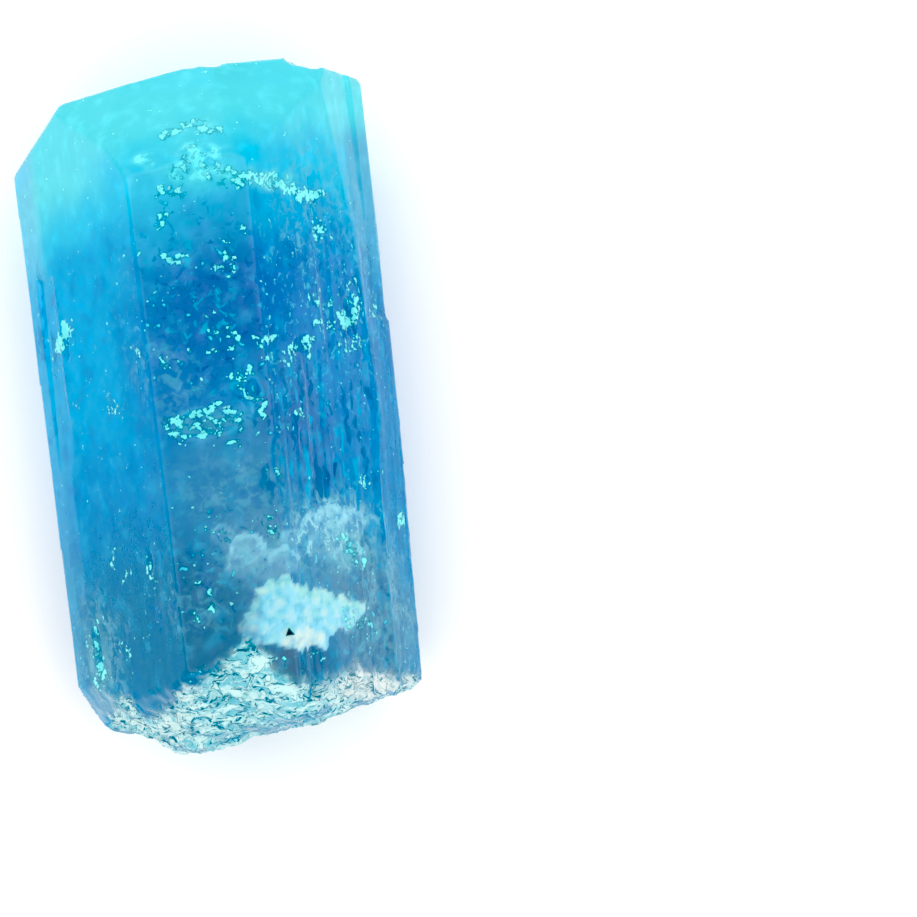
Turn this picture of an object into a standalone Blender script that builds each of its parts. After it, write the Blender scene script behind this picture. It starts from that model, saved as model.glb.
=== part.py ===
"""A rough aquamarine crystal: one hexagonal prism, broken off at its base, lying on its broadest prism face.

The crystal's c axis lies along +Y, its finished end towards +Y and its broken base towards -Y. The face that it
shows points up, +Z. The origin is at the middle of its outline, on the surface that it rests on.
Values are in millimetres and are scaled to metres as the meshes are made.
"""

import math

import bmesh
import bpy
from mathutils import Matrix, Vector, noise

MM = 0.001

# Driving dimensions
LENGTH = 60.0
WIDTH = 31.6
THICKNESS = 27.0
FRONT_LEFT_X = -4.4
FRONT_RIGHT_X = 5.3
STRIP_LEFT_X = -13.2
STRIP_RIGHT_X = 14.0
TIP_Y = 29.35
BLUE = (0.02, 0.42, 0.72, 1.0)

PRISM_ANGLE = 60.0
PRISM_SLOPE = math.tan(math.radians(PRISM_ANGLE))
BLOCK_MARGIN = 8.0


def prism_normal(turn, widening=0.0):
    """Outward normal of a face along the c axis: turned from +Z towards +X, widening towards the finished end."""
    turn, widening = math.radians(turn), math.radians(widening)
    return Vector(
        (
            math.sin(turn) * math.cos(widening),
            -math.sin(widening),
            math.cos(turn) * math.cos(widening),
        )
    )


def end_normal(turn, from_axis):
    """Outward normal of a face of the finished end, leaning from the c axis towards the prism face at that turn."""
    turn, from_axis = math.radians(turn), math.radians(from_axis)
    return Vector(
        (
            math.sin(turn) * math.sin(from_axis),
            math.cos(from_axis),
            math.cos(turn) * math.sin(from_axis),
        )
    )


STRIP_LEFT_Z = THICKNESS - (FRONT_LEFT_X - STRIP_LEFT_X) * PRISM_SLOPE
STRIP_RIGHT_Z = THICKNESS - (STRIP_RIGHT_X - FRONT_RIGHT_X) * PRISM_SLOPE
HALF_WIDTH = WIDTH / 2

# Each flat growth face as a point on it and its outward normal
PRISM_FACES = (
    ((0, 0, 0), prism_normal(180)),
    ((0, 0, THICKNESS), prism_normal(0, 0.3)),
    ((FRONT_RIGHT_X, 0, THICKNESS), prism_normal(PRISM_ANGLE, 0.3)),
    ((STRIP_RIGHT_X, 0, STRIP_RIGHT_Z), prism_normal(70, -0.5)),
    ((HALF_WIDTH - 0.05, 0, 7.0), prism_normal(120, -0.6)),
    ((FRONT_LEFT_X, 0, THICKNESS), prism_normal(-PRISM_ANGLE, 1.0)),
    ((STRIP_LEFT_X, 0, STRIP_LEFT_Z), prism_normal(-64, 1.0)),
    ((-HALF_WIDTH + 0.45, 0, 7.4), prism_normal(-120, 1.0)),
)
END_FACES = (
    ((8.7, TIP_Y, 13.0), end_normal(-90, 2)),
    ((-0.5, TIP_Y - 0.3, 13.0), end_normal(-80, 9.7)),
    ((9.5, TIP_Y, 13.0), end_normal(85, 20)),
    ((-15.6, 22.0, 9.0), end_normal(-82, 52)),
    ((15.65, 26.4, 9.0), end_normal(84, 58)),
    ((0, 20.5, THICKNESS), end_normal(-6, 46)),
    ((5.0, 20.6, THICKNESS), end_normal(31, 47)),
    ((-4.6, 21.4, THICKNESS), end_normal(-34, 46)),
    ((0, 21.5, 0), end_normal(176, 44)),
    ((12.0, 22.5, 0), end_normal(150, 48)),
    ((-12.0, 20.5, 0), end_normal(-150, 48)),
)

# Where the break at the base meets the outline, and where it meets the faces on top, as x, y
BREAK_OUTLINE = (
    (-17.5, -22.8),
    (-15.2, -24.6),
    (-14.2, -26.0),
    (-12.0, -27.4),
    (-10.0, -27.8),
    (-8.6, -28.3),
    (-7.2, -29.6),
    (-5.5, -29.8),
    (-1.6, -29.6),
    (0.0, -28.8),
    (5.5, -28.4),
    (9.5, -27.3),
    (13.0, -26.6),
    (15.2, -25.7),
    (17.5, -24.0),
)
BREAK_TOP = (
    (-17.5, -22.0),
    (-13.5, -23.3),
    (-9.0, -24.2),
    (-5.9, -23.4),
    (-3.0, -22.2),
    (-1.0, -21.5),
    (1.5, -23.6),
    (4.5, -25.2),
    (8.0, -25.9),
    (12.0, -26.2),
    (15.2, -25.4),
    (17.5, -24.0),
)
# How far up the break reaches furthest out, as a share of the height there, and how far it runs back below that
BREAK_FURTHEST = 0.38
BREAK_UNDERCUT = 2.4
BREAK_LUMPS = 0.45
BREAK_ROPES = 0.5
BREAK_HALF_WIDTH = 17.5
BREAK_LOW_Z = -2.0
BREAK_HIGH_Z = 29.0
BREAK_FAR_Y = -36.0
BREAK_COLUMNS = 30
BREAK_ROWS = 24

# Growth ledges, where a thin layer stops short: x and y ranges, then depth at the low and at the high end
LEDGES = (
    (13.9, 17.0, 6.2, 15.0, 0.28, 0.02),
    (12.2, 14.6, 14.6, 30.0, 0.03, 0.40),
    (8.2, 9.6, -12.0, 4.0, 0.40, 0.05),
    (11.3, 13.1, -32.0, -8.8, 0.55, 0.10),
    (13.9, 17.0, -32.0, -3.0, 1.40, 0.06),
    (6.1, 7.0, -32.0, -1.4, 0.35, 0.02),
    (10.2, 11.0, 2.0, 19.0, 0.02, 0.35),
    (-14.4, -12.9, -4.0, 12.8, 0.04, 0.32),
)
LEDGE_SLAB = 2.0

# Etch pits along the axis: x, y, half length, half width, depth
PITS = (
    (-0.5, -1.5, 1.2, 3.3, 0.65),
    (3.8, 0.6, 1.5, 0.8, 0.60),
    (8.2, 4.3, 0.8, 1.1, 0.50),
    (12.5, 6.4, 1.9, 0.9, 0.70),
    (-12.3, 7.1, 1.6, 0.6, 0.50),
    (2.7, 11.3, 0.5, 0.9, 0.45),
    (13.3, 1.1, 2.6, 0.5, 0.60),
    (5.5, -5.4, 2.3, 0.5, 0.60),
    (10.1, -6.9, 1.9, 0.5, 0.55),
    (7.6, -3.7, 1.5, 0.4, 0.45),
    (12.1, -11.9, 2.0, 0.5, 0.50),
    (10.4, -13.9, 1.3, 1.0, 0.60),
    (-12.4, -20.0, 2.6, 0.6, 0.55),
    (-6.4, -12.6, 0.9, 0.4, 0.35),
    (6.1, 5.6, 0.5, 0.8, 0.40),
    (-1.6, 12.6, 0.5, 0.8, 0.35),
    (1.7, 20.2, 1.1, 1.8, 0.55),
    (7.4, 18.4, 0.7, 1.4, 0.50),
)
LARGE_PIT = 2.0
RAGGEDNESS = 0.42

# Chips out of the edges: the middle, then the half sizes
CHIPS = (
    ((2.4, 30.4, 16.0), (2.6, 1.70, 9.0)),
    ((6.7, 30.7, 16.0), (1.7, 1.65, 9.0)),
    ((11.7, 29.5, 13.5), (2.5, 1.35, 8.0)),
    ((-11.6, 28.7, 13.6), (1.5, 1.5, 1.5)),
    ((15.9, 27.6, 10.5), (1.6, 1.6, 1.6)),
    ((-5.0, 20.6, 27.8), (1.4, 1.4, 1.4)),
    ((5.9, 10.4, 27.9), (1.5, 1.5, 1.5)),
    ((-5.1, -6.4, 27.7), (1.2, 1.2, 1.2)),
    ((16.4, -17.6, 4.6), (2.0, 2.0, 2.0)),
    ((-16.5, -9.0, 8.8), (1.6, 1.6, 1.6)),
    ((13.6, -3.0, 0.2), (1.7, 1.7, 1.7)),
    ((-13.2, 6.0, 0.2), (1.6, 1.6, 1.6)),
)


def new_object(name, bm):
    """Turns the shape into an object in metres."""
    bmesh.ops.recalc_face_normals(bm, faces=bm.faces)
    bmesh.ops.scale(bm, vec=(MM, MM, MM), verts=bm.verts)
    mesh = bpy.data.meshes.new(name)
    bm.to_mesh(mesh)
    bm.free()
    obj = bpy.data.objects.new(name, mesh)
    bpy.context.scene.collection.objects.link(obj)
    return obj


def cut_flat(bm, point, normal):
    """Grows one flat face: what lies outside the plane goes, and the cut is closed."""
    geometry = bm.verts[:] + bm.edges[:] + bm.faces[:]
    cut = bmesh.ops.bisect_plane(
        bm, geom=geometry, plane_co=point, plane_no=normal, clear_outer=True
    )
    rim = [item for item in cut["geom_cut"] if isinstance(item, bmesh.types.BMEdge)]
    if rim:
        bmesh.ops.contextual_create(bm, geom=rim)


def height_on_top(x, y):
    """Height of the upward faces above the point x, y."""
    heights = []
    for point, normal in PRISM_FACES + END_FACES:
        if normal.z > 0.05:
            rest = normal.dot(Vector(point)) - normal.x * x - normal.y * y
            heights.append(rest / normal.z)
    return min(heights)


def normal_on_top(x, y):
    """Outward normal of the upward face above the point x, y."""
    step = 0.05
    slope_x = (height_on_top(x + step, y) - height_on_top(x - step, y)) / (2 * step)
    slope_y = (height_on_top(x, y + step) - height_on_top(x, y - step)) / (2 * step)
    return Vector((-slope_x, -slope_y, 1)).normalized()


def read_profile(profile, x):
    """The y of a profile at x, eased from each of its points to the next."""
    for (x0, y0), (x1, y1) in zip(profile, profile[1:]):
        if x <= x1:
            share = max(0.0, (x - x0) / (x1 - x0))
            share = share * share * (3 - 2 * share)
            return y0 + (y1 - y0) * share
    return profile[-1][1]


def break_surface(x, z):
    """The y of the broken base, furthest out at about a third of the height, with ropy ridges and lumps."""
    top = max(height_on_top(x, BREAK_OUTLINE[0][1]), 6.0)
    furthest = BREAK_FURTHEST * top
    outline, front = read_profile(BREAK_OUTLINE, x), read_profile(BREAK_TOP, x)
    if z > furthest:
        share = min(1.3, (z - furthest) / (top - furthest))
        y = outline + (front - outline) * share**1.6
    else:
        y = outline + BREAK_UNDERCUT * ((furthest - z) / furthest) ** 2
    lumps = noise.noise(Vector((x / 5.0, z / 4.0, 3.7)))
    ropes = abs(noise.noise(Vector((x / 2.6, z / 1.5, 9.1)))) * 2 - 0.5
    return y + BREAK_LUMPS * lumps + BREAK_ROPES * ropes


def make_crystal():
    """The prism with its flat faces and its finished end, closed and square at the base."""
    bm = bmesh.new()
    block = Matrix.Diagonal((WIDTH + BLOCK_MARGIN, LENGTH + BLOCK_MARGIN, THICKNESS + BLOCK_MARGIN, 1))
    lift = Matrix.Translation((0, 0, THICKNESS / 2))
    bmesh.ops.create_cube(bm, size=1, matrix=lift @ block)
    for point, normal in PRISM_FACES + END_FACES:
        cut_flat(bm, point, normal)
    return new_object("crystal", bm)


def make_break():
    """The block that the base broke away from, with the broken surface as its upper end."""
    bm = bmesh.new()
    bmesh.ops.create_grid(bm, x_segments=BREAK_COLUMNS, y_segments=BREAK_ROWS, size=1)
    middle_z, half_height = (BREAK_HIGH_Z + BREAK_LOW_Z) / 2, (BREAK_HIGH_Z - BREAK_LOW_Z) / 2
    for vert in bm.verts:
        x, z = vert.co.x * BREAK_HALF_WIDTH, middle_z + vert.co.y * half_height
        vert.co = (x, break_surface(x, z), z)
    drawn = bmesh.ops.extrude_face_region(bm, geom=bm.faces[:])
    for item in drawn["geom"]:
        if isinstance(item, bmesh.types.BMVert):
            item.co.y = BREAK_FAR_Y
    return new_object("broken_away", bm)


def face_axes(x, y):
    """The point on top above x, y, with the directions across and along the face there and out of it."""
    outward = normal_on_top(x, y)
    across = Vector((0, 1, 0)).cross(outward).normalized()
    along = outward.cross(across)
    return Vector((x, y, height_on_top(x, y))), across, along, outward


def make_ledges():
    """Slabs over the faces on top, each sunk a little more at one end, which leave long low steps."""
    bm = bmesh.new()
    for low_x, high_x, low_y, high_y, low_depth, high_depth in LEDGES:
        centre, across, along, outward = face_axes((low_x + high_x) / 2, (low_y + high_y) / 2)
        turn = Matrix((across, along, outward)).transposed().to_4x4()
        width, length = (high_x - low_x) / across.x, high_y - low_y
        size = Matrix.Diagonal((width, length, LEDGE_SLAB, 1))
        lift = Matrix.Translation(centre + outward * LEDGE_SLAB / 2)
        made = bmesh.ops.create_cube(bm, size=1, matrix=lift @ turn @ size)
        for vert in made["verts"]:
            depth = low_depth if vert.co.y < centre.y else high_depth
            vert.co -= outward * depth
    return new_object("missing_layers", bm)


def make_pits():
    """Etch pits as ragged hollows in the faces on top."""
    bm = bmesh.new()
    for x, y, half_length, half_width, depth in PITS:
        centre, across, along, outward = face_axes(x, y)
        turn = Matrix((across, along, outward)).transposed().to_4x4()
        size = Matrix.Diagonal((half_width, half_length, depth, 1))
        place = Matrix.Translation(centre) @ turn @ size
        rounds = 3 if max(half_length, half_width) > LARGE_PIT else 2
        made = bmesh.ops.create_icosphere(bm, subdivisions=rounds, radius=1.0, matrix=place)
        for vert in made["verts"]:
            away = vert.co - centre
            vert.co += away * RAGGEDNESS * noise.noise(vert.co / 0.7)
    return new_object("etched_away", bm)


def make_chips():
    """Rounded bites out of the edges."""
    bm = bmesh.new()
    for middle, half_sizes in CHIPS:
        place = Matrix.Translation(middle) @ Matrix.Diagonal((*half_sizes, 1))
        made = bmesh.ops.create_icosphere(bm, subdivisions=2, radius=1.0, matrix=place)
        for vert in made["verts"]:
            away = vert.co - place.translation
            vert.co += away * RAGGEDNESS * noise.noise(vert.co / 1.3)
    return new_object("chipped_away", bm)


def cut_away(crystal, cutters):
    """Takes the cutters' volumes out of the crystal in one cut, and keeps them only as guides."""
    guides = bpy.data.collections.new("cutters")
    bpy.context.scene.collection.children.link(guides)
    for cutter in cutters:
        bpy.context.scene.collection.objects.unlink(cutter)
        guides.objects.link(cutter)
        cutter.hide_render = True
        cutter.display_type = "WIRE"
    cut = crystal.modifiers.new("cut away", "BOOLEAN")
    cut.operation = "DIFFERENCE"
    cut.solver = "EXACT"
    cut.operand_type = "COLLECTION"
    cut.collection = guides


def aquamarine():
    """Clear blue beryl, slightly frosted."""
    material = bpy.data.materials.new("aquamarine")
    material.use_nodes = True
    shader = material.node_tree.nodes["Principled BSDF"]
    shader.inputs["Base Color"].default_value = BLUE
    shader.inputs["Roughness"].default_value = 0.12
    shader.inputs["Metallic"].default_value = 0.0
    shader.inputs["IOR"].default_value = 1.577
    shader.inputs["Transmission Weight"].default_value = 0.9
    return material


def clear_scene():
    for obj in list(bpy.data.objects):
        bpy.data.objects.remove(obj, do_unlink=True)


def main():
    clear_scene()
    crystal = make_crystal()
    crystal.data.materials.append(aquamarine())
    cut_away(crystal, (make_break(), make_ledges(), make_pits(), make_chips()))


main()
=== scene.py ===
"""The looks of a rough aquamarine crystal lying on a pale floor, seen from straight above.

The crystal's long axis lies along Y with its finished end towards +Y. Positions and sizes are in millimetres
where a name or a comment doesn't say otherwise, and are scaled to metres as the meshes are made.
"""

import math
import random

import bmesh
import bpy
from mathutils import Matrix, Vector, noise
from mathutils.bvhtree import BVHTree


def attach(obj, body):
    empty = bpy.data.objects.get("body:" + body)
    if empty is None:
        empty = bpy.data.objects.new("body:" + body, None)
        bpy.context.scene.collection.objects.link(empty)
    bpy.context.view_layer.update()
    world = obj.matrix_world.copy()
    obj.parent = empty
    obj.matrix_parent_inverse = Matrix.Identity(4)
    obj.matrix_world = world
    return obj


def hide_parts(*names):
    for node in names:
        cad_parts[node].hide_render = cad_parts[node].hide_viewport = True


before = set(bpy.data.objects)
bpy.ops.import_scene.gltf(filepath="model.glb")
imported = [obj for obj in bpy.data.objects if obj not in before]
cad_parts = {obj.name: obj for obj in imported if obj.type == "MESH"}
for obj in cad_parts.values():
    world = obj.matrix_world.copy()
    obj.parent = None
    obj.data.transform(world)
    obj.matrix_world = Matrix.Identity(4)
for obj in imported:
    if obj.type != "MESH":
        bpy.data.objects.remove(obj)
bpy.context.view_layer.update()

MM = 0.001

# The photograph's framing: the crystal's lean to the left in degrees, the frame's width, and the camera
LEAN = 6.1
FRAME_WIDTH = 80.44
LENS = 200.0
SENSOR = 36.0
AIM = Vector((20.52, -6.68, 8.5))
EYE = AIM + Vector((0, 0, FRAME_WIDTH * LENS / SENSOR))
# The view's black levels take a little red and green away, as in the photograph
BLACK_LEVELS = (0.115, 0.025, 0.0)

# The studio: its light all round and overhead, and how far up, from 0 to 1, it starts and ends to dim
LIGHT_ROUND = 1.0
LIGHT_OVERHEAD = 0.1
DIMMING = (0.86, 0.97)
STRENGTH = 1.75
FLOOR_WHITE = (0.92, 0.92, 0.92)
FLOOR_RADIUS = 1500.0
FLOOR_DROP = 0.03

# The crystal's skin: how fine its mesh is, and how squarely it must face with the solid to lie flat on it
CELL = 0.285
FLAT_ENOUGH = 0.985
# How high the growth lines stand, and the etched ropes, their lumps and the floor between them
FINE_LINES = 0.03
BROAD_LINES = 0.05
ROPE_HEIGHT = 0.42
LUMP_HEIGHT = 0.12
ROPE_FLOOR = -0.30

# Aquamarine
REFRACTIVE_INDEX = 1.577
ABSORBED = (0.05, 0.82, 0.98)
ABSORPTION = 36.0
# The share of light that the stone scatters, everywhere and where it is most clouded
MILKINESS = 0.45
CLOUD_FROST = 0.8
CLEAR = (0.80, 0.95, 1.0)
# Painted reflection haze that the upward faces get on top of their colour, because less of the pale floor
# shows in them
SHEEN_MATCH = (0.156, 0.11, 0.07)
# How much redder the right side is, as a painted reflection haze of the pale floor, and the least red that
# any part keeps
RIGHT_HAZE_RED = 0.025
LEAST_RED = 0.004

# Down the stone: how far above or below the edge of the cyan end, and the colour, partly the stone's own and
# partly a painted glow that brightens the thin cyan end
ZONES_AND_END_GLOW = (
    (-9.0, (0.012, 0.27, 0.65)),
    (-2.5, (0.024, 0.42, 0.79)),
    (1.5, (0.055, 0.66, 0.97)),
    (7.0, (0.195, 0.94, 1.00)),
)
LEFT_BLUE = (0.012, 0.42, 0.84)
LEFT_LOW = (0.014, 0.22, 0.62)
PALE_AZURE = (0.05, 0.48, 0.84)
RIGHT_AZURE = (0.085, 0.235, 0.62)
DEEP_BLUE = (0.012, 0.10, 0.47)
RIGHT_DEEP = (0.095, 0.12, 0.40)
GROOVE_BLUE = (0.006, 0.08, 0.33)
LOW_BLUE = (0.028, 0.115, 0.29)
GREY_BLUE = (0.065, 0.22, 0.46)
PALE_VEIL = (0.15, 0.34, 0.56)
PALE_GREY = (0.21, 0.30, 0.41)
DARK_BLUE = (0.075, 0.12, 0.27)
# Painted reflections of the pale floor down the left and the right edge of the outline
EDGE_REFLECTION_LAVENDER = (0.23, 0.68, 0.96)
EDGE_REFLECTION_CYAN = (0.15, 0.44, 0.72)
BRIGHT_CYAN = (0.24, 0.92, 0.96)
CLOUD = (0.30, 0.60, 0.68)
SCRATCH_CYAN = (0.32, 0.60, 0.70)
FRACTURE_BLUE = (0.24, 0.55, 0.70)
SHADED_FROST = (0.10, 0.33, 0.48)
FROST_CYAN = (0.31, 0.60, 0.57)
FROST_WHITE = (0.55, 0.66, 0.62)
SPECK_CYAN = (0.16, 0.66, 0.80)
SPECK_AZURE = (0.15, 0.56, 0.82)
FLECK_CYAN = (0.22, 0.72, 0.72)
FLECK_WHITE = (0.24, 0.70, 0.70)
RIM_TEAL = (0.025, 0.10, 0.20)
DARK_MINERAL = (0.006, 0.006, 0.008)
CRUST_CYAN = (0.22, 0.50, 0.57)
# The crust's pale tones, which its ridges take as a painted highlight
CRUST_WHITE = (0.52, 0.74, 0.72)
CRUST_PALEST = (0.66, 0.70, 0.67)
# Painted shade between the crust's folds and in its creases
FOLD_SHADE_TEAL = (0.08, 0.30, 0.38)
CREASE_SHADE_TEAL = (0.02, 0.17, 0.26)

# All places below are as the camera sees them, laid out flat at the height that it aims at.

# The lower edge of the cyan end, as x, y
CYAN_EDGE = (
    (-16.0, 12.0),
    (-12.5, 14.2),
    (-9.0, 16.2),
    (-7.0, 17.6),
    (0.0, 19.3),
    (5.0, 20.0),
    (12.0, 18.5),
    (16.0, 15.0),
)
# Where the stone's colour changes: colour, middle, half sizes, share
REGIONS = (
    (DEEP_BLUE, (3.0, 9.2), (8.0, 5.5), 1.0),
    (DEEP_BLUE, (-3.0, 2.5), (4.0, 5.0), 0.6),
    (RIGHT_AZURE, (11.5, 3.0), (5.5, 10.0), 0.8),
    (RIGHT_DEEP, (6.5, -3.0), (3.0, 6.5), 0.75),
    (LEFT_LOW, (-10.0, -9.5), (6.0, 7.0), 0.8),
    (LOW_BLUE, (-5.5, -19.5), (11.0, 9.0), 0.9),
    (GREY_BLUE, (0.5, -7.0), (5.5, 5.5), 0.7),
    (PALE_VEIL, (6.6, -13.2), (6.6, 4.5), 0.85),
    (PALE_GREY, (11.0, -19.8), (3.8, 6.0), 0.80),
    (DARK_BLUE, (4.8, -23.3), (3.2, 1.9), 0.95),
)
# Where grooves along the axis show: middle, half sizes, strength
GROOVED = (
    ((9.0, -4.0), (5.5, 6.5), 0.9),
    ((13.2, 4.0), (2.2, 11.0), 0.6),
    ((12.8, -15.0), (2.8, 9.0), 0.4),
    ((-14.2, 5.0), (0.8, 9.0), 0.5),
)
# Bright soft patches: colour, middle, half sizes, share
CLOUDS = (
    (CLOUD, (10.0, -13.6), (1.9, 1.6), 0.8),
    (BRIGHT_CYAN, (0.6, 21.6), (3.0, 2.0), 0.9),
    (BRIGHT_CYAN, (-0.8, 20.7), (1.6, 0.9), 0.9),
    (BRIGHT_CYAN, (3.6, 20.4), (1.8, 0.7), 0.8),
    (BRIGHT_CYAN, (-4.0, 22.3), (1.4, 0.7), 0.9),
    (BRIGHT_CYAN, (7.0, 19.3), (1.8, 0.9), 0.8),
    (BRIGHT_CYAN, (0.8, 24.7), (2.0, 0.6), 0.8),
    (BRIGHT_CYAN, (9.3, 23.5), (0.7, 1.6), 0.4),
    (CLOUD, (-1.2, -1.2), (3.3, 1.0), 0.5),
    (CLOUD, (-12.6, -21.5), (0.9, 3.4), 0.5),
)
# Where the stone looks scratched and veiled: middle, half sizes, strength
VEILED = (
    ((8.4, -11.6), (4.2, 3.0), 1.0),
    ((2.2, -12.8), (3.8, 2.6), 0.6),
    ((0.5, -7.5), (4.5, 3.0), 0.4),
    ((-3.5, -17.0), (3.0, 2.5), 0.35),
    ((12.5, -18.0), (2.6, 6.0), 0.45),
    ((-12.4, -20.5), (1.8, 5.0), 0.5),
    ((10.5, 18.0), (4.0, 6.0), 0.30),
    ((-4.0, 3.0), (2.5, 3.5), 0.35),
)
# Cloudy lobes, bright along their upper rims: middle, radius, strength
LOBES = (
    ((1.3, -12.9), 1.6, 0.85),
    ((-0.8, -11.2), 1.0, 0.45),
    ((0.3, -14.2), 1.1, 0.60),
    ((2.7, -14.4), 1.4, 0.55),
    ((4.4, -14.0), 1.3, 0.70),
    ((5.3, -12.6), 1.3, 0.40),
    ((7.3, -11.4), 1.3, 0.75),
    ((8.9, -11.1), 1.5, 1.00),
    ((10.6, -11.5), 1.3, 0.70),
    ((12.0, -11.6), 1.0, 0.30),
    ((8.2, -12.9), 1.6, 0.45),
    ((10.1, -14.2), 1.3, 0.80),
)
# The white fracture's upper and lower edges, as x, y
FRACTURE_TOP = (
    (-0.4, -19.2),
    (0.6, -17.9),
    (1.8, -16.6),
    (2.8, -15.4),
    (4.6, -15.2),
    (5.4, -16.3),
    (7.5, -17.0),
    (9.5, -17.7),
    (11.2, -18.5),
)
FRACTURE_BOTTOM = (
    (-0.4, -19.6),
    (0.4, -20.8),
    (2.2, -21.3),
    (3.8, -21.4),
    (5.0, -22.0),
    (6.2, -21.8),
    (7.2, -22.1),
    (8.0, -20.6),
    (9.8, -20.4),
    (11.2, -18.7),
)
# Its whitest part, at its foot: middle, half sizes
FRACTURE_FOOT = ((5.4, -20.9), (1.8, 0.8))
# The dark mineral grain, a three-sided stub: its place, two radii, height, rounding and turn in degrees
DARK_GRAIN_PLACE = (4.17, -20.3)
DARK_GRAIN_RADII = (0.55, 0.34)
DARK_GRAIN_HEIGHT = 0.34
DARK_GRAIN_ROUNDING = 0.05
DARK_GRAIN_TURN = 125
# Flecks gathered along a line: the line's points, how far they reach beside it, how closely they lie
FLECKED = (
    (((3.4, 20.1), (5.2, 19.7), (6.9, 19.4), (8.0, 18.7), (9.6, 17.6), (11.0, 17.6)), 0.75, 1.0),
    (((-1.4, 20.8), (0.4, 22.4), (1.2, 20.8), (3.4, 20.3)), 1.0, 0.55),
    (((-1.8, 24.3), (-0.8, 24.7), (0.6, 25.1), (1.6, 24.4), (2.7, 24.2)), 0.5, 0.9),
    (((-2.8, 19.5), (-1.2, 19.1)), 0.5, 0.75),
    (((-2.6, 17.6), (-3.4, 16.3)), 0.45, 0.75),
    (((3.8, 15.6), (3.9, 15.3)), 0.45, 0.9),
    (((-5.5, 14.5), (-5.4, 14.3)), 0.4, 0.9),
    (((-3.1, 13.7), (-1.9, 13.2)), 0.5, 0.85),
    (((0.7, 12.3), (1.6, 12.1), (2.5, 11.8)), 0.5, 1.0),
    (((2.0, 14.5), (2.2, 13.2), (2.9, 12.7)), 0.6, 0.7),
    (((10.1, 15.2), (10.2, 14.0)), 0.7, 0.75),
    (((-1.8, 11.1), (-1.9, 10.9)), 0.35, 0.8),
    (((9.0, 9.0), (10.6, 8.2)), 0.9, 0.5),
    (((13.1, 10.0), (12.8, 9.0)), 0.5, 0.75),
    (((12.9, 7.8), (12.9, 6.8), (12.0, 6.2), (11.5, 6.9)), 0.75, 1.0),
    (((14.4, 8.0), (14.4, 6.6)), 0.5, 0.6),
    (((11.6, 4.4), (12.6, 4.8), (13.0, 4.0), (12.0, 3.9)), 0.4, 0.75),
    (((9.7, 6.3), (10.6, 6.1)), 0.5, 0.75),
    (((6.8, 4.4), (7.6, 4.5), (8.5, 5.2), (8.4, 4.3)), 0.6, 1.0),
    (((0.2, 6.6), (1.2, 6.6)), 0.6, 0.7),
    (((0.1, 8.4), (0.2, 7.6)), 0.5, 0.6),
    (((1.8, 6.2), (2.2, 5.9)), 0.55, 0.95),
    (((3.8, 5.9), (3.8, 5.4)), 0.45, 0.95),
    (((4.8, 5.5), (5.6, 5.3)), 0.45, 1.0),
    (((-0.1, 5.1), (1.6, 5.0)), 0.35, 0.9),
    (((4.5, 4.8), (4.7, 4.0), (6.4, 3.4), (5.8, 2.6)), 0.6, 0.55),
    (((1.6, 2.5), (2.5, 2.6), (3.3, 3.0)), 0.5, 0.95),
    (((2.4, 1.9), (2.6, 1.0), (3.1, 0.5), (3.9, 0.5), (4.2, -0.2), (3.6, -0.7), (4.1, -1.2)), 0.42, 1.0),
    (((-4.5, -1.9), (-3.7, -2.6), (-2.5, -2.4), (-1.6, -2.0), (-0.4, -2.1), (0.1, -2.5)), 0.34, 1.0),
    (
        ((-4.6, -0.6), (-3.0, -0.4), (-1.2, -0.1), (0.5, 0.1), (1.5, -0.6), (1.9, -1.5), (1.4, -2.0)),
        0.36,
        1.0,
    ),
    (((-4.4, -1.1), (-2.0, -1.4), (0.8, -1.3)), 0.8, 0.72),
    (((0.9, -3.1), (1.5, -3.5)), 0.4, 0.9),
    (((5.1, -2.3), (5.8, -2.2)), 0.3, 0.9),
    (((6.8, -0.9), (7.2, -1.5)), 0.45, 0.7),
    (((4.6, -5.9), (4.8, -6.5)), 0.4, 0.7),
    (((7.4, -7.0), (7.7, -7.3)), 0.4, 0.7),
    (((12.0, -7.6), (12.3, -8.2)), 0.5, 0.7),
    (((-12.3, 8.4), (-12.7, 7.4), (-13.4, 6.3)), 0.65, 1.0),
    (((-9.6, 1.2), (-8.9, 0.6), (-8.1, 1.4)), 0.7, 0.5),
    (((-7.0, 6.2), (-6.3, 5.2)), 0.4, 0.55),
    (((-4.4, 4.8), (-3.6, 4.4)), 0.6, 0.55),
    (((-10.4, -12.4), (-9.9, -10.9)), 0.3, 0.8),
    (((-9.8, -14.2), (-9.2, -13.4)), 0.35, 0.65),
    (((-7.6, -12.4), (-7.4, -13.4), (-7.2, -14.6)), 0.38, 0.8),
    (((-12.4, -17.7), (-13.2, -19.0), (-12.8, -20.4)), 0.6, 0.6),
    (((-12.7, -20.6), (-12.5, -22.4), (-12.8, -23.0)), 0.55, 0.85),
    (((-10.6, -20.2), (-10.4, -21.2)), 0.7, 0.5),
    (((-3.9, -17.8), (-3.8, -18.4)), 0.5, 0.85),
    (((-2.7, -17.3), (-2.4, -17.7)), 0.4, 0.8),
    (((-3.4, -15.0), (-2.5, -16.2)), 0.5, 0.6),
    (((-4.1, -22.4), (-4.1, -22.7)), 0.4, 1.0),
    (((-2.2, -10.4), (-0.4, -11.6)), 0.5, 0.6),
    (((3.3, -10.2), (3.5, -11.8)), 0.7, 0.6),
    (((9.6, -12.6), (10.3, -13.6), (11.2, -14.6)), 0.9, 0.72),
    (((14.9, -10.9), (15.0, -11.9)), 0.4, 0.9),
    (((3.2, -22.4), (3.3, -22.6)), 0.4, 1.0),
    (((6.0, -22.3), (6.4, -22.7)), 0.45, 0.7),
    (((9.5, -19.4), (11.0, -20.6)), 1.0, 0.55),
)
# Further than this from a line's first point there are none of its flecks
FLECKS_END = 8.0
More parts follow.
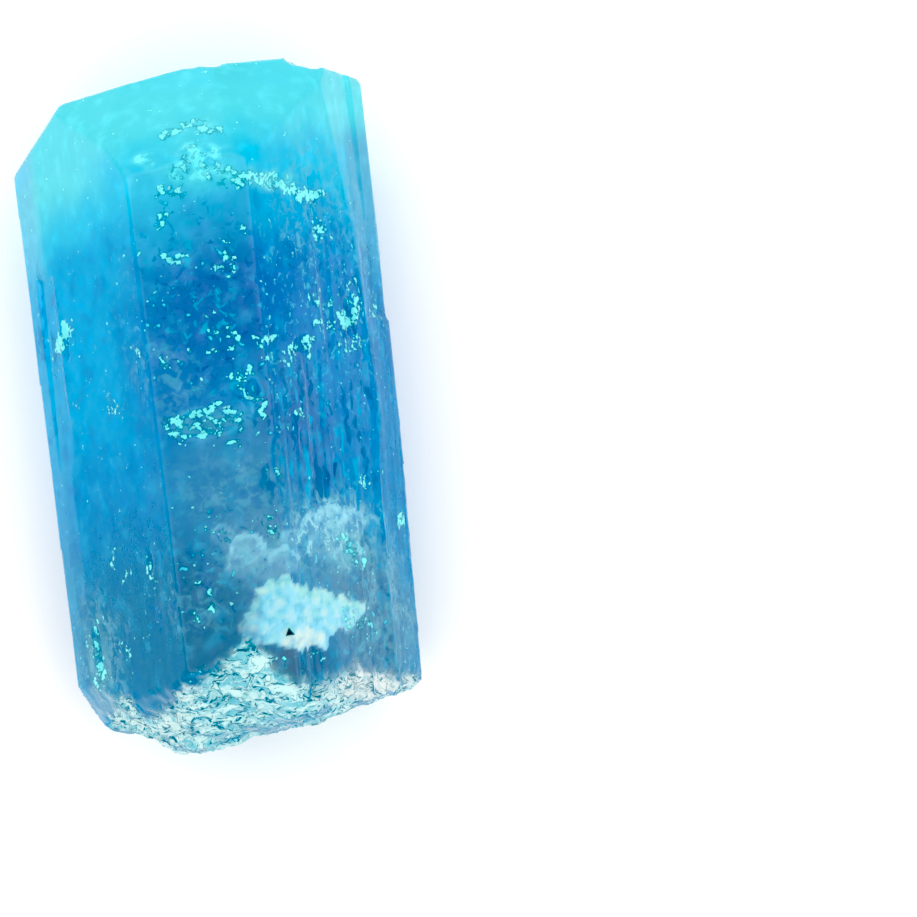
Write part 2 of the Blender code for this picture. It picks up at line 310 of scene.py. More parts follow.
# Where single specks gather: middle, half sizes, the share of cells that hold one
SPECKLED = (
    ((0.5, 9.5), (7.0, 8.5), 0.40),
    ((11.0, 8.0), (5.0, 9.0), 0.55),
    ((3.5, 3.0), (7.5, 5.0), 0.45),
    ((9.0, -12.0), (6.0, 4.0), 0.34),
    ((0.0, -14.0), (5.0, 5.0), 0.36),
    ((11.5, -20.0), (4.0, 5.0), 0.32),
)
# How far up the crust reaches on the faces above the break, as x, y
CRUST_EDGE = (
    (-16.0, -27.0),
    (-12.7, -26.8),
    (-12.0, -25.0),
    (-11.1, -24.0),
    (-10.2, -24.3),
    (-9.5, -26.2),
    (-8.0, -26.0),
    (-6.6, -25.0),
    (-5.7, -23.6),
    (-4.6, -23.9),
    (-2.8, -22.5),
    (-1.6, -21.4),
    (-0.4, -20.3),
    (0.8, -20.5),
    (2.0, -21.6),
    (2.6, -23.2),
    (5.0, -24.7),
    (7.0, -24.6),
    (8.6, -23.8),
    (9.9, -23.5),
    (11.0, -24.2),
    (16.0, -25.2),
)

# Solid flecks strung along the lines where flecks gather: how many for each square millimetre, their radii
# and how deep they lie at most
FLECK_DENSITY = 3.0
FLECK_RADII = (0.07, 0.26)
FLECK_DEPTH = 0.4
# Solid flecks scattered through the stone: middle, half sizes, how many, least and greatest radius, greatest
# depth
SWARMS = (
    ((0.0, 0.0), (15.0, 24.0), 260, 0.06, 0.20, 6.0),
    ((1.0, 9.0), (7.0, 9.0), 120, 0.06, 0.22, 3.0),
    ((10.0, 3.0), (5.0, 11.0), 110, 0.06, 0.22, 2.0),
    ((3.0, -13.0), (7.0, 7.0), 80, 0.06, 0.22, 2.5),
    ((-7.0, -19.0), (7.0, 6.0), 80, 0.06, 0.22, 2.5),
)
SEED = 20


def new_piece(name, bm, material):
    """Turns a shape in millimetres into a piece in metres that rides with the crystal."""
    bmesh.ops.scale(bm, vec=(MM, MM, MM), verts=bm.verts)
    mesh = bpy.data.meshes.new(name)
    bm.to_mesh(mesh)
    bm.free()
    piece = bpy.data.objects.new(name, mesh)
    bpy.context.scene.collection.objects.link(piece)
    piece.data.materials.append(material)
    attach(piece, "root")
    return piece


def smooth(low, high, value):
    """0 below low, 1 above high, eased between."""
    share = min(1.0, max(0.0, (value - low) / (high - low)))
    return share * share * (3 - 2 * share)


# The skin


def solid_copy(node):
    """The CAD node's mesh in millimetres, with its loose triangles joined."""
    bm = bmesh.new()
    bm.from_mesh(node.data)
    bmesh.ops.remove_doubles(bm, verts=bm.verts, dist=1e-7)
    bmesh.ops.scale(bm, vec=(1 / MM, 1 / MM, 1 / MM), verts=bm.verts)
    return bm


def remeshed(bm, cell):
    """The same closed shape as even cells."""
    mesh = bpy.data.meshes.new("cells")
    bm.to_mesh(mesh)
    holder = bpy.data.objects.new("cells", mesh)
    bpy.context.scene.collection.objects.link(holder)
    cells = holder.modifiers.new("cells", "REMESH")
    cells.mode = "VOXEL"
    cells.voxel_size = cell
    cells.adaptivity = 0.0
    evaluated = holder.evaluated_get(bpy.context.evaluated_depsgraph_get())
    even = bmesh.new()
    even.from_mesh(evaluated.to_mesh())
    evaluated.to_mesh_clear()
    bpy.data.objects.remove(holder, do_unlink=True)
    bpy.data.meshes.remove(mesh)
    return even


def settle_on_faces(even, tree):
    """Moves each point of a flat face exactly onto the solid's face, and leaves the rounded edges alone."""
    even.normal_update()
    for vert in even.verts:
        place, normal, _, away = tree.find_nearest(vert.co)
        if place is not None and normal.dot(vert.normal) > FLAT_ENOUGH and away < CELL:
            vert.co = place


def striations(co, normal):
    """Fine growth lines along the prism faces, in millimetres of relief."""
    across = co.x * normal.z - co.z * normal.x
    fine = noise.noise(Vector((across / 0.9, co.y / 22.0, 1.0)))
    broad = noise.noise(Vector((across / 3.1, co.y / 40.0, 5.0)))
    on_right = 0.2 + 0.8 * smooth(0.2, 0.7, normal.x)
    return (FINE_LINES * fine + BROAD_LINES * broad) * on_right


def ropes(co):
    """Ropy etch relief of the broken base."""
    warp = noise.noise_vector(co / 3.0) * 1.1
    place = co + warp
    ridge = 1 - abs(noise.noise(Vector((place.x / 1.5, place.y / 0.9, place.z / 1.2)))) * 2.4
    small = noise.noise(co / 0.6)
    return ROPE_HEIGHT * max(ridge, -0.2) + LUMP_HEIGHT * small + ROPE_FLOOR


def patch(co, centre, half_size, soft=0.6):
    """1 inside an oval patch and 0 outside it, seen from above, with a soft edge."""
    distance = math.hypot((co.x - centre[0]) / half_size[0], (co.y - centre[1]) / half_size[1])
    return smooth(1 + soft, 1 - soft, distance)


def over_patches(co, least, patches):
    """least outside the patches, and each patch's own strength inside it."""
    return max([least] + [patch(co, centre, half) * strength for centre, half, strength in patches])


def lay(below, above, share):
    """One colour laid over another."""
    return below.lerp(Vector(above), share)


def seen(co):
    """The place where the camera sees a point, laid out flat at the height that it aims at."""
    share = (EYE.z - AIM.z) / (EYE.z - co.z)
    return Vector((EYE.x + (co.x - EYE.x) * share, EYE.y + (co.y - EYE.y) * share, co.z))


def shifted(co, reach, size, start):
    """The place shifted by noise, so that whatever is laid out with it gets a ragged edge."""
    offset = Vector((start, start, start))
    shift = noise.noise_vector(co / size + offset)
    shift += noise.noise_vector(co / size * 2.3 + offset) * 0.5
    return co + shift * reach


def layered(co, size, octaves, start):
    """Noise in several layers, mostly between -1 and 1."""
    return noise.fractal(co / size + Vector((start, start, start)), 0.8, 2.1, octaves)


def zone_colour_and_end_glow(rise):
    """The colour at a height above the edge of the cyan end, brightening into the painted glow of the cyan
    end.
    """
    for (low, below), (high, above) in zip(ZONES_AND_END_GLOW, ZONES_AND_END_GLOW[1:]):
        if rise < high:
            return Vector(below).lerp(Vector(above), smooth(low, high, rise))
    return Vector(ZONES_AND_END_GLOW[-1][1])


def edge_reflections_and_dark_band(colour, place):
    """The colour with painted reflections of the pale floor down the two edges of the outline laid over it,
    and darker down the lower right edge.
    """
    # A painted reflection down the left edge, strongest higher up
    down_left = 0.7 * smooth(-13.6, -14.6, place.x)
    colour = lay(colour, EDGE_REFLECTION_LAVENDER, down_left * (0.4 + 0.6 * smooth(11.0, 15.0, place.y)))
    # A painted reflection down the right edge, fading towards the tip
    down_right = 0.8 * smooth(13.0, 14.0, place.x) * smooth(6.0, 14.0, place.y)
    colour = lay(colour, EDGE_REFLECTION_CYAN, down_right * smooth(25.0, 21.0, place.y))
    # Darker down the lower right edge
    lower_right = 0.25 * smooth(12.8, 13.6, place.x) * smooth(12.0, 8.0, place.y)
    return lay(colour, DEEP_BLUE, lower_right * smooth(-16.0, -12.0, place.y))


def stone_colour(place, loose):
    """The stone's colour at a place: its own tones, with a painted glow at the cyan end, painted reflections
    down the edges of the outline and painted reflection haze on the right side.
    """
    rise = loose.y - read_profile(CYAN_EDGE, loose.x)
    below_end = smooth(2.0, -3.0, rise)
    # The colour down the stone, partly its own and partly a painted glow at the cyan end
    colour = zone_colour_and_end_glow(rise)
    colour = lay(colour, LEFT_BLUE, smooth(-5.5, -10.5, loose.x) * below_end)
    for tone, centre, half_size, share in REGIONS:
        colour = lay(colour, tone, patch(loose, centre, half_size) * share * below_end)
    # Painted reflections down the outline's edges, and a darker band down the lower right
    colour = edge_reflections_and_dark_band(colour, place)
    # Extra red on the right side as a painted reflection haze, a little less red at its outer edge, and none
    # near the cyan tip
    redder = RIGHT_HAZE_RED * smooth(4.0, 6.0, loose.x) * (1 - 1.6 * smooth(12.8, 13.6, place.x))
    colour.x = max(LEAST_RED, colour.x + redder * smooth(28.0, 22.0, place.y))
    mottle = layered(place, 1.7, 4, 2.0)
    colour = lay(colour, DEEP_BLUE, 0.35 * smooth(0.1, 0.7, mottle) * below_end)
    return lay(colour, PALE_AZURE, 0.35 * smooth(-0.1, -0.7, mottle) * below_end)


def read_profile(profile, x):
    """The y of a profile at x."""
    for (x0, y0), (x1, y1) in zip(profile, profile[1:]):
        if x <= x1:
            return y0 + (y1 - y0) * max(0.0, (x - x0) / (x1 - x0))
    return profile[-1][1]


def fracture_share(place):
    """1 inside the white fracture and 0 outside it."""
    if not FRACTURE_TOP[0][0] < place.x < FRACTURE_TOP[-1][0]:
        return 0.0
    top, bottom = read_profile(FRACTURE_TOP, place.x), read_profile(FRACTURE_BOTTOM, place.x)
    return smooth(top + 0.2, top - 0.2, place.y) * smooth(bottom - 0.2, bottom + 0.2, place.y)


def lobe_share(place):
    """How white the cloudy lobes are: most along their upper rims, less inside."""
    share = 0.0
    for (x, y), radius, strength in LOBES:
        across, up = (place.x - x) / radius, (place.y - y) / radius
        distance = math.hypot(across, up)
        rim = smooth(0.5, 0.85, distance) * smooth(1.15, 0.98, distance) * smooth(-0.6, 0.4, up)
        share = max(share, strength * max(rim, 0.45 * smooth(1.1, 0.8, distance)))
    return share


def from_line(place, points):
    """How far the place lies from a line through the points."""
    nearest = math.inf
    for (x0, y0), (x1, y1) in zip(points, points[1:]):
        dx, dy = x1 - x0, y1 - y0
        share = ((place.x - x0) * dx + (place.y - y0) * dy) / (dx * dx + dy * dy)
        share = min(1.0, max(0.0, share))
        nearest = min(nearest, math.hypot(place.x - x0 - share * dx, place.y - y0 - share * dy))
    return nearest


def fleck_share(place):
    """How closely flecks lie: 1 in the middle of a gathering, and 0 away from it."""
    share = 0.0
    for points, reach, strength in FLECKED:
        if max(abs(place.x - points[0][0]), abs(place.y - points[0][1])) < FLECKS_END:
            share = max(share, strength * smooth(reach * 1.25, reach * 0.35, from_line(place, points)))
    return share


def crust_share(co, normal, tight):
    """How much crust lies at a point: all over the break, thinning above it, with clearer patches below."""
    edge = read_profile(CRUST_EDGE, tight.x)
    from_break = smooth(-0.35, -0.75, normal.y)
    from_edge = smooth(edge + 0.5, edge - 1.0, tight.y)
    crust = from_break + (from_edge - from_break) * smooth(0.1, 0.35, normal.z)
    clear_patch = smooth(0.05, 0.45, layered(co, 5.0, 3, 33.0)) * smooth(0.4, 0.1, normal.z)
    return crust * (1 - 0.6 * clear_patch)


def fracture_tone(place, tight, ragged, wisps):
    """The white fracture's colour: mottled, and paler along its top edge and at its foot."""
    grainy = layered(Vector((place.x, place.y, 0.0)), 0.8, 3, 51.0)
    below_top = read_profile(FRACTURE_TOP, ragged.x) - ragged.y
    paler = max(smooth(1.8, 0.3, below_top), 0.6 * smooth(-0.1, 0.5, wisps))
    tone = lay(Vector(FRACTURE_BLUE), FROST_CYAN, paler)
    tone = lay(tone, FROST_WHITE, patch(tight, *FRACTURE_FOOT, soft=0.25))
    tone = lay(tone, FROST_WHITE, 0.5 * smooth(0.0, 0.4, grainy))
    return lay(tone, SHADED_FROST, 0.45 * smooth(-0.05, -0.45, grainy))


def clouds_over(colour, frost, tight, wispy):
    """The colour and the frost with the bright soft patches over them, and the share that stays plain."""
    plain = 1.0
    for tone, centre, half_size, share in CLOUDS:
        share *= patch(tight, centre, half_size) * wispy
        colour, frost = lay(colour, tone, share), max(frost, CLOUD_FROST * share)
        plain = min(plain, 1 - share)
    return colour, frost, plain


def paleness(loose, normal):
    """How pale the crust is: most at the right, less at the left, and least low down."""
    sideways = max(smooth(4.0, 10.0, loose.x), 0.5 * smooth(-3.0, -7.0, loose.x))
    return sideways * (0.3 + 0.7 * smooth(0.1, 0.5, normal.z))


def mark_point(co, normal):
    """A point's colour, its frost, veils and paleness, and its grooves, specks, crust and flecks."""
    place = seen(co)
    loose, tight = shifted(place, 1.1, 4.0, 4.0), shifted(place, 0.6, 1.3, 11.0)
    ragged = shifted(place, 0.45, 0.9, 17.0)
    wisps = layered(co, 1.0, 4, 41.0)
    facing_up = smooth(0.0, 0.2, normal.z)
    # The upward faces get the painted reflection haze on top of the stone's colour
    colour = stone_colour(place, loose) + Vector(SHEEN_MATCH) * smooth(0.6, 0.95, normal.z)
    frost = MILKINESS * (1 + 0.25 * layered(co, 1.4, 3, 7.0))
    wispy = 0.4 + 0.6 * smooth(-0.6, 0.2, wisps)
    colour, frost, plain = clouds_over(colour, frost, tight, wispy * facing_up)
    clouded = lobe_share((place + ragged) / 2) * (0.6 + 0.4 * smooth(-0.5, 0.3, wisps)) * facing_up
    colour, frost = lay(colour, CLOUD, clouded), max(frost, MILKINESS + 0.5 * clouded)
    fracture = fracture_share(ragged) * (0.45 + 0.55 * smooth(0.2, 2.2, ragged.x + wisps)) * facing_up
    if fracture > 0:
        colour = lay(colour, fracture_tone(place, tight, ragged, wisps), fracture)
        frost = max(frost, MILKINESS + 0.45 * fracture)
    plain = min(plain, 1 - max(fracture, clouded))
    below_end = smooth(26.0, 21.0, loose.y)
    grooved = over_patches(loose, 0.03, GROOVED) * below_end * plain
    speckled = over_patches(loose, 0.03, SPECKLED) * (1 - fracture) * below_end
    veiled = max(over_patches(loose, 0.0, VEILED), 0.5 * fracture) * facing_up
    crust = crust_share(co, normal, tight)
    flecked = fleck_share(tight) * facing_up
    off_floor = 1 - smooth(0.6, 0.1, co.z) * smooth(-0.7, -0.9, normal.z)
    colour = lay(Vector(CLEAR), colour, off_floor)
    looks = (frost * off_floor, veiled, paleness(loose, normal), 1.0)
    return colour, looks, tuple(share * off_floor for share in (grooved, speckled, crust, flecked))


def make_skin(node, material):
    """The crystal's whole outside as one closed skin with its growth lines and etched base, and its tree."""
    solid = solid_copy(node)
    tree = BVHTree.FromBMesh(solid)
    even = remeshed(solid, CELL)
    solid.free()
    settle_on_faces(even, tree)
    even.normal_update()
    looks_mark = even.verts.layers.float_color.new("looks")
    stone_mark = even.verts.layers.float_color.new("stone")
    shares_mark = even.verts.layers.float_color.new("shares")
    shift_mark = even.verts.layers.float_vector.new("shift")
    for vert in even.verts:
        co, normal = vert.co.copy(), vert.normal.copy()
        colour, looks, shares = mark_point(co, normal)
        vert[looks_mark] = looks
        vert[stone_mark] = (*colour, 1.0)
        vert[shares_mark] = shares
        broken = shares[2] if normal.z < 0.99 else 0.0
        on_prism = 1 - smooth(0.25, 0.5, abs(normal.y))
        resting = co.z < 0.2 and normal.z < -0.9
        lift = 0.0 if resting else on_prism * (1 - broken) * striations(co, normal)
        vert.co = co + normal * (lift + broken * ropes(co))
        vert[shift_mark] = noise.noise_vector(co / 0.8) * 0.55
    outside = BVHTree.FromBMesh(even)
    skin = new_piece("crystal_skin", even, material)
    for polygon in skin.data.polygons:
        polygon.use_smooth = True
    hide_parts("crystal")
    return outside


# Inclusions


def along(points, share):
    """The place at that share of a line through the points."""
    steps = [math.dist(a, b) for a, b in zip(points, points[1:])]
    left = share * sum(steps)
    for (a, b), step in zip(zip(points, points[1:]), steps):
        if left <= step:
            return a[0] + (b[0] - a[0]) * left / step, a[1] + (b[1] - a[1]) * left / step
        left -= step
    return points[-1]


def shown_at(outside, x, y):
    """The point of the skin that the camera sees at x, y, and the skin's normal there."""
    hit, normal, _, _ = outside.ray_cast(EYE, (Vector((x, y, AIM.z)) - EYE).normalized())
    return hit, normal


def add_fleck(bm, outside, chance, x, y, radius, deepest):
    """One ragged fleck under the upper faces where the camera sees x, y."""
    hit, normal = shown_at(outside, x, y)
    if hit is None or normal.z < 0.2:
        return
    depth = deepest * chance.random() ** 2
    turn = normal.to_track_quat("Z", "Y").to_matrix().to_4x4()
    spin = Matrix.Rotation(chance.uniform(0, math.tau), 4, "Z")
    shape = Matrix.Diagonal((radius, radius * chance.uniform(0.5, 0.9), radius * 0.45, 1))
    made = bmesh.ops.create_icosphere(bm, subdivisions=1, radius=1.0)
    for vert in made["verts"]:
        vert.co *= chance.uniform(0.65, 1.25)
    place = Matrix.Translation(hit - normal * (depth + radius * 0.15))
    bmesh.ops.transform(bm, matrix=place @ turn @ spin @ shape, verts=made["verts"])


def make_flecks(outside, material):
    """Small white flecks at and under the upper faces, along the gatherings and scattered."""
    chance = random.Random(SEED)
    bm = bmesh.new()
    for points, reach, strength in FLECKED:
        length = sum(math.dist(a, b) for a, b in zip(points, points[1:]))
        for _ in range(round(FLECK_DENSITY * strength * 2 * reach * (length + reach))):
            x, y = along(points, chance.random())
            x, y = chance.gauss(x, reach * 0.5), chance.gauss(y, reach * 0.5)
            small, large = FLECK_RADII
            radius = small + (large - small) * chance.random() ** 1.5
            add_fleck(bm, outside, chance, x, y, radius, FLECK_DEPTH)
    for middle, half_size, count, small, large, deepest in SWARMS:
        for _ in range(count):
            x = middle[0] + half_size[0] * chance.uniform(-1, 1)
            y = middle[1] + half_size[1] * chance.uniform(-1, 1)
            radius = small + (large - small) * chance.random() ** 2
            add_fleck(bm, outside, chance, x, y, radius, deepest)
    new_piece("white_inclusions", bm, material)


def make_dark_grain(outside, material):
    """The one dark mineral grain, three-sided, beside the white fracture."""
    hit, normal = shown_at(outside, *DARK_GRAIN_PLACE)
    low, high = DARK_GRAIN_RADII
    bm = bmesh.new()
    bmesh.ops.create_cone(
        bm, cap_ends=True, segments=3, radius1=low, radius2=high, depth=DARK_GRAIN_HEIGHT
    )
    bmesh.ops.bevel(
        bm,
        geom=bm.edges[:],
        affect="EDGES",
        offset=DARK_GRAIN_ROUNDING,
        segments=1,
        profile=0.5,
        material=-1,
    )
    turn = normal.to_track_quat("Z", "Y").to_matrix().to_4x4()
    spin = Matrix.Rotation(math.radians(DARK_GRAIN_TURN), 4, "Z")
    bmesh.ops.transform(bm, matrix=Matrix.Translation(hit) @ turn @ spin, verts=bm.verts)
    new_piece("dark_mineral_grain", bm, material)


# Materials


def maths(tree, operation, first, second=0.0, clamp=False):
    """One sum on two sockets or numbers."""
    node = tree.nodes.new("ShaderNodeMath")
    node.operation = operation
    node.use_clamp = clamp
    for socket, value in zip(node.inputs, (first, second)):
        if isinstance(value, bpy.types.NodeSocket):
            tree.links.new(value, socket)
        else:
            socket.default_value = value
    return node.outputs["Value"]


def times(tree, first, second):
    """The product of two sockets or numbers."""
    return maths(tree, "MULTIPLY", first, second)


def larger(tree, first, second):
    """The larger of two sockets or numbers."""
    return maths(tree, "MAXIMUM", first, second)


def ease(tree, value, low, high, least=0.0, most=1.0):
    """least where the value is at low, most where it is at high, eased between."""
    node = tree.nodes.new("ShaderNodeMapRange")
    node.interpolation_type = "SMOOTHSTEP"
    tree.links.new(value, node.inputs["Value"])
    for name, number in (("From Min", low), ("From Max", high), ("To Min", least), ("To Max", most)):
        node.inputs[name].default_value = number
    return node.outputs["Result"]


def scaled(tree, place, stretch, offset=(0, 0, 0)):
    """The place scaled on each axis, then moved."""
    node = tree.nodes.new("ShaderNodeMapping")
    node.inputs["Location"].default_value = offset
    node.inputs["Scale"].default_value = stretch
    tree.links.new(place, node.inputs["Vector"])
    return node.outputs["Vector"]


def soft_noise(tree, place, size, detail=2.0, rough=0.5, bend=0.0, stretch=(1, 1, 1), start=0.0):
    """Soft noise from 0 to 1 whose features are about size millimetres across."""
    node = tree.nodes.new("ShaderNodeTexNoise")
    node.inputs["Scale"].default_value = 1.0
    node.inputs["Detail"].default_value = detail
    node.inputs["Roughness"].default_value = rough
    node.inputs["Distortion"].default_value = bend
    stretch = tuple(part / size for part in stretch)
    tree.links.new(scaled(tree, place, stretch, (start, start, start)), node.inputs["Vector"])
    return node.outputs["Fac"]


def colour_over(tree, below, above, share):
    """One colour laid over another, by a share from 0 to 1."""
    node = tree.nodes.new("ShaderNodeMix")
    node.data_type = "RGBA"
    for name, value in (("A", below), ("B", above)):
        socket = next(i for i in node.inputs if i.name == name and i.type == "RGBA")
        if isinstance(value, bpy.types.NodeSocket):
            tree.links.new(value, socket)
        else:
            socket.default_value = (*value, 1.0)
    tree.links.new(share, node.inputs["Factor"])
    return next(o for o in node.outputs if o.type == "RGBA")


def specks(tree, place, size, density, radius):
    """Bright specks in the share of cells that density gives, and the dark rim round each."""
    node = tree.nodes.new("ShaderNodeTexVoronoi")
    node.inputs["Scale"].default_value = 1.0
    tree.links.new(scaled(tree, place, (1 / size,) * 3), node.inputs["Vector"])
    split = tree.nodes.new("ShaderNodeSeparateColor")
    tree.links.new(node.outputs["Color"], split.inputs["Color"])
    chosen = ease(tree, maths(tree, "ADD", split.outputs["Red"], density), 0.99, 1.04)
    distance = node.outputs["Distance"]
    speck = times(tree, ease(tree, distance, radius * 0.6, radius, 1.0, 0.0), chosen)
    rim = times(tree, ease(tree, distance, radius, radius * 1.7, 1.0, 0.0), chosen)
    return speck, rim


def mark(tree, name):
    """One of the marks that the skin's points carry."""
    node = tree.nodes.new("ShaderNodeAttribute")
    node.attribute_name = name
    return node


def shares_of(tree, name):
    """The four numbers of one mark."""
    node = mark(tree, name)
    split = tree.nodes.new("ShaderNodeSeparateColor")
    tree.links.new(node.outputs["Color"], split.inputs["Color"])
    return (*split.outputs, node.outputs["Alpha"])


def uneven_place(tree, place):
    """The place shifted by the noise that the skin's points carry, so that no pattern looks ruled."""
    node = tree.nodes.new("ShaderNodeVectorMath")
    node.operation = "ADD"
    tree.links.new(place, node.inputs[0])
    tree.links.new(mark(tree, "shift").outputs["Vector"], node.inputs[1])
    return node.outputs["Vector"]


def grooves_over(tree, colour, uneven, grooved):
    """The colour with dark and pale grooves along the axis over it."""
    groove = soft_noise(tree, uneven, 1.0, detail=1.5, stretch=(1.0, 0.2, 1.0), start=31.0)
    colour = colour_over(tree, colour, GROOVE_BLUE, times(tree, ease(tree, groove, 0.57, 0.66), grooved))
    return colour_over(tree, colour, PALE_AZURE, times(tree, ease(tree, groove, 0.44, 0.34), grooved))


def specks_over(tree, colour, uneven, mottled, speckled):
    """The colour with light and dark mottling and bright specks over it, and where the specks are."""
    mottling = maths(tree, "MULTIPLY", speckled, 2.2, clamp=True)
    light = times(tree, ease(tree, mottled, 0.56, 0.70), mottling)
    dark = times(tree, ease(tree, mottled, 0.42, 0.28, 0.0, 0.7), mottling)
    colour = colour_over(tree, colour, SPECK_AZURE, light)
    colour = colour_over(tree, colour, GROOVE_BLUE, dark)
    dots, rims = specks(tree, uneven, 0.85, times(tree, speckled, 0.7), 0.26)
    colour = colour_over(tree, colour, GROOVE_BLUE, times(tree, rims, 0.3))
    return colour_over(tree, colour, SPECK_CYAN, dots), dots


def flecks_over(tree, colour, place, flecked):
    """The colour with ragged flecks and their dark rims over it, and where the flecks are."""
    fleck = soft_noise(tree, place, 0.60, detail=2.0, rough=0.6, start=71.0)
    height = maths(tree, "ADD", fleck, times(tree, flecked, 0.26))
    rims = times(tree, ease(tree, height, 0.62, 0.68), ease(tree, flecked, 0.0, 0.4, 0.0, 0.55))
    flecks = ease(tree, height, 0.66, 0.78)
    colour = colour_over(tree, colour, RIM_TEAL, rims)
    return colour_over(tree, colour, FLECK_CYAN, flecks), flecks


def crust_look(tree, uneven, pale):
    """The colour and the frost of the crust: pale folds lit by painted highlights on their ridges, parted by
    dark teal creases of painted shade, which are less frosted.
    """
    creases = soft_noise(
        tree, uneven, 2.4, detail=2.5, rough=0.6, bend=0.9, stretch=(0.85, 1.7, 1.5), start=3.0
    )
    folds = soft_noise(tree, uneven, 1.0, detail=3.0, rough=0.7, stretch=(0.8, 1.5, 1.4), start=13.0)
    from_crease = maths(tree, "ABSOLUTE", maths(tree, "SUBTRACT", creases, 0.5))
    from_fold = maths(tree, "ABSOLUTE", maths(tree, "SUBTRACT", folds, 0.46))
    both = times(tree, maths(tree, "ADD", creases, folds), 0.5)
    whiteness = maths(tree, "ADD", both, times(tree, pale, 0.10))
    whitest = colour_over(tree, CRUST_WHITE, CRUST_PALEST, pale)
    # The ridges lighten towards white as a painted highlight
    colour = colour_over(tree, CRUST_CYAN, whitest, ease(tree, whiteness, 0.41, 0.56))
    # Thin lines of painted shade between the folds
    colour = colour_over(tree, colour, FOLD_SHADE_TEAL, ease(tree, from_fold, 0.026, 0.008, 0.0, 0.7))
    # Painted shade in the creases, weaker on the palest crust
    deep = times(tree, ease(tree, from_crease, 0.040, 0.010), ease(tree, folds, 0.62, 0.50, 0.2, 0.95))
    deep = times(tree, deep, ease(tree, pale, 0.5, 1.0, 1.0, 0.6))
    return colour_over(tree, colour, CREASE_SHADE_TEAL, deep), ease(tree, from_crease, 0.0, 0.04, 0.5, 0.9)


def aquamarine():
    """Clear blue beryl: cyan at the finished end, partly a painted glow, then azure, greyer low down and
    frosted at the base, its crust with painted shade in the creases and painted highlights on the ridges.
    """
    material = bpy.data.materials.new("aquamarine_skin")
    material.use_nodes = True
    tree = material.node_tree
    shader = tree.nodes["Principled BSDF"]
    texture = tree.nodes.new("ShaderNodeTexCoord")
    place = scaled(tree, texture.outputs["Object"], (1 / MM,) * 3)
    grooved, speckled, crust, flecked = shares_of(tree, "shares")
    frost, veiled, pale, _ = shares_of(tree, "looks")
    uneven = uneven_place(tree, place)
    mottled = soft_noise(tree, uneven, 0.95, detail=2.5, rough=0.68, start=21.0)

    colour = grooves_over(tree, mark(tree, "stone").outputs["Color"], uneven, grooved)
    colour, dots = specks_over(tree, colour, uneven, mottled, speckled)
    scratched = times(tree, ease(tree, mottled, 0.46, 0.62), veiled)
    colour = colour_over(tree, colour, SCRATCH_CYAN, scratched)
    colour, flecks = flecks_over(tree, colour, place, flecked)
    marked = larger(tree, times(tree, scratched, 0.85), larger(tree, times(tree, dots, 0.7), flecks))
    frost = larger(tree, frost, times(tree, marked, 0.9))
    crust_colour, crust_frost = crust_look(tree, uneven, pale)
    colour = colour_over(tree, colour, crust_colour, crust)
    frost = larger(tree, frost, times(tree, crust, crust_frost))

    tree.links.new(colour, shader.inputs["Base Color"])
    tree.links.new(maths(tree, "SUBTRACT", 1.0, frost, clamp=True), shader.inputs["Transmission Weight"])
    tree.links.new(ease(tree, frost, 0.3, 0.9, 0.06, 0.4), shader.inputs["Roughness"])
    shader.inputs["IOR"].default_value = REFRACTIVE_INDEX
    shader.inputs["Specular IOR Level"].default_value = 0.3
    shader.inputs["Specular Tint"].default_value = (0.35, 0.75, 1.0, 1.0)
    volume = tree.nodes.new("ShaderNodeVolumeAbsorption")
    volume.inputs["Color"].default_value = (*ABSORBED, 1.0)
    volume.inputs["Density"].default_value = ABSORPTION
    tree.links.new(volume.outputs["Volume"], tree.nodes["Material Output"].inputs["Volume"])
    return material


def matt(name, colour, roughness):
    """A plain finish for a small grain, a little uneven in tone."""
    material = bpy.data.materials.new(name)
    material.use_nodes = True
    tree = material.node_tree
    shader = tree.nodes["Principled BSDF"]
    texture = tree.nodes.new("ShaderNodeTexCoord")
    place = scaled(tree, texture.outputs["Object"], (1 / MM,) * 3)
    tone = ease(tree, soft_noise(tree, place, 1.3, detail=1.0), 0.35, 0.65)
    darker = tuple(part * 0.7 for part in colour)
    tree.links.new(colour_over(tree, darker, colour, tone), shader.inputs["Base Color"])
    shader.inputs["Roughness"].default_value = roughness
    return material


def floor_finish():
    """Plain matt white."""
    material = bpy.data.materials.new("floor")
    material.use_nodes = True
    shader = material.node_tree.nodes["Principled BSDF"]
    shader.inputs["Base Color"].default_value = (*FLOOR_WHITE, 1.0)
    shader.inputs["Roughness"].default_value = 0.9
    shader.inputs["Specular IOR Level"].default_value = 0.1
    return material


# The studio


def make_floor():
    """A wide disc just under the crystal."""
    bm = bmesh.new()
    bmesh.ops.create_circle(bm, cap_ends=True, segments=96, radius=FLOOR_RADIUS)
    bmesh.ops.translate(bm, vec=(0, 0, -FLOOR_DROP), verts=bm.verts)
    bmesh.ops.scale(bm, vec=(MM, MM, MM), verts=bm.verts)
    mesh = bpy.data.meshes.new("floor")
    bm.to_mesh(mesh)
    bm.free()
    floor = bpy.data.objects.new("floor", mesh)
    bpy.context.scene.collection.objects.link(floor)
    floor.data.materials.append(floor_finish())


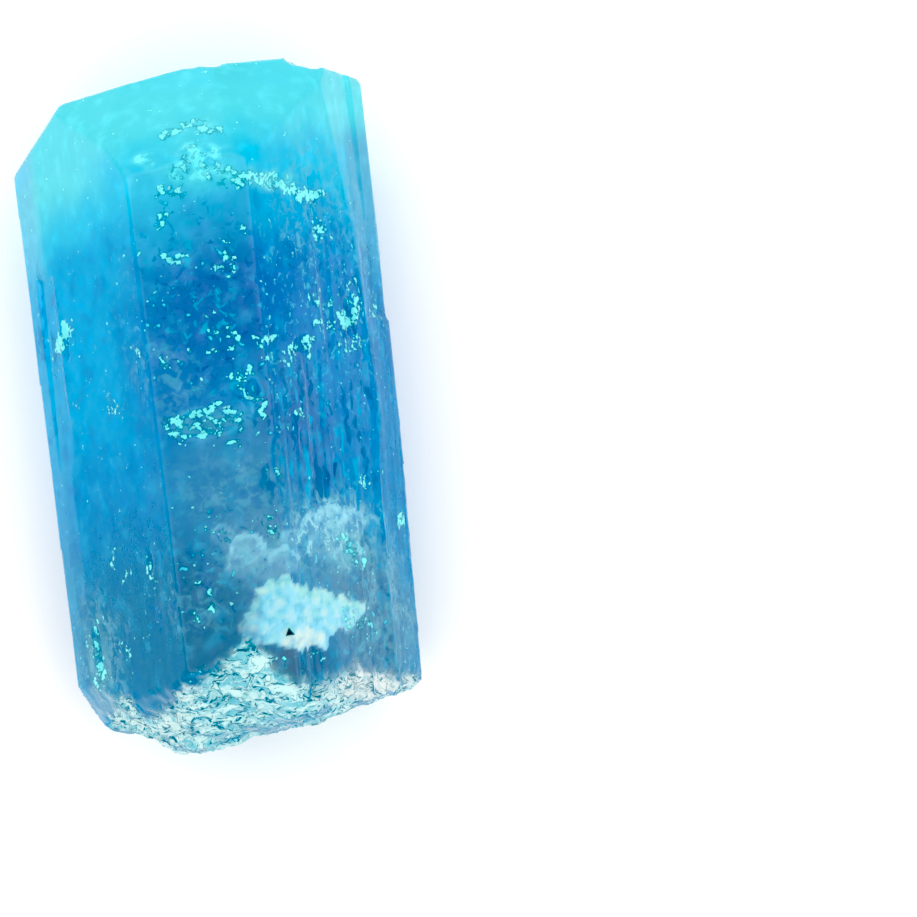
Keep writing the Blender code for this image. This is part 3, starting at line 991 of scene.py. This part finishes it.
def make_world():
    """Even light from all round, darker straight overhead so that the top faces stay clear of haze."""
    world = bpy.data.worlds.new("studio")
    bpy.context.scene.world = world
    world.use_nodes = True
    tree = world.node_tree
    place = tree.nodes.new("ShaderNodeTexCoord")
    split = tree.nodes.new("ShaderNodeSeparateXYZ")
    ramp = tree.nodes.new("ShaderNodeValToRGB")
    stops = ramp.color_ramp.elements
    stops[1].position = DIMMING[1]
    stops.new(DIMMING[0])
    for stop, light in zip(stops, (LIGHT_ROUND, LIGHT_ROUND, LIGHT_OVERHEAD)):
        stop.color = (light, light, light, 1)
    tree.links.new(place.outputs["Generated"], split.inputs["Vector"])
    tree.links.new(split.outputs["Z"], ramp.inputs["Fac"])
    background = tree.nodes["Background"]
    tree.links.new(ramp.outputs["Color"], background.inputs["Color"])
    background.inputs["Strength"].default_value = STRENGTH


def make_camera():
    """Straight down, turned so that the crystal leans as it does in the photograph."""
    data = bpy.data.cameras.new("camera")
    data.lens = LENS
    data.sensor_width = SENSOR
    data.clip_start = 0.01
    data.clip_end = 20.0
    camera = bpy.data.objects.new("camera", data)
    bpy.context.scene.collection.objects.link(camera)
    place = Matrix.Translation(EYE * MM)
    camera.matrix_world = place @ Matrix.Rotation(math.radians(-LEAN), 4, "Z")
    bpy.context.scene.camera = camera


def main():
    """Sets the view and the light's bounces, then makes the studio and the crystal."""
    scene = bpy.context.scene
    scene.view_settings.view_transform = "Standard"
    scene.view_settings.use_curve_mapping = True
    scene.view_settings.curve_mapping.black_level = BLACK_LEVELS
    scene.view_settings.curve_mapping.update()
    scene.cycles.max_bounces = 5
    scene.cycles.diffuse_bounces = 2
    scene.cycles.glossy_bounces = 2
    scene.cycles.transmission_bounces = 5
    noise.seed_set(SEED)
    make_camera()
    make_world()
    make_floor()
    outside = make_skin(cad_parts["crystal"], aquamarine())
    make_flecks(outside, matt("inclusion_white", FLECK_WHITE, 0.35))
    make_dark_grain(outside, matt("dark_mineral", DARK_MINERAL, 0.3))


main()
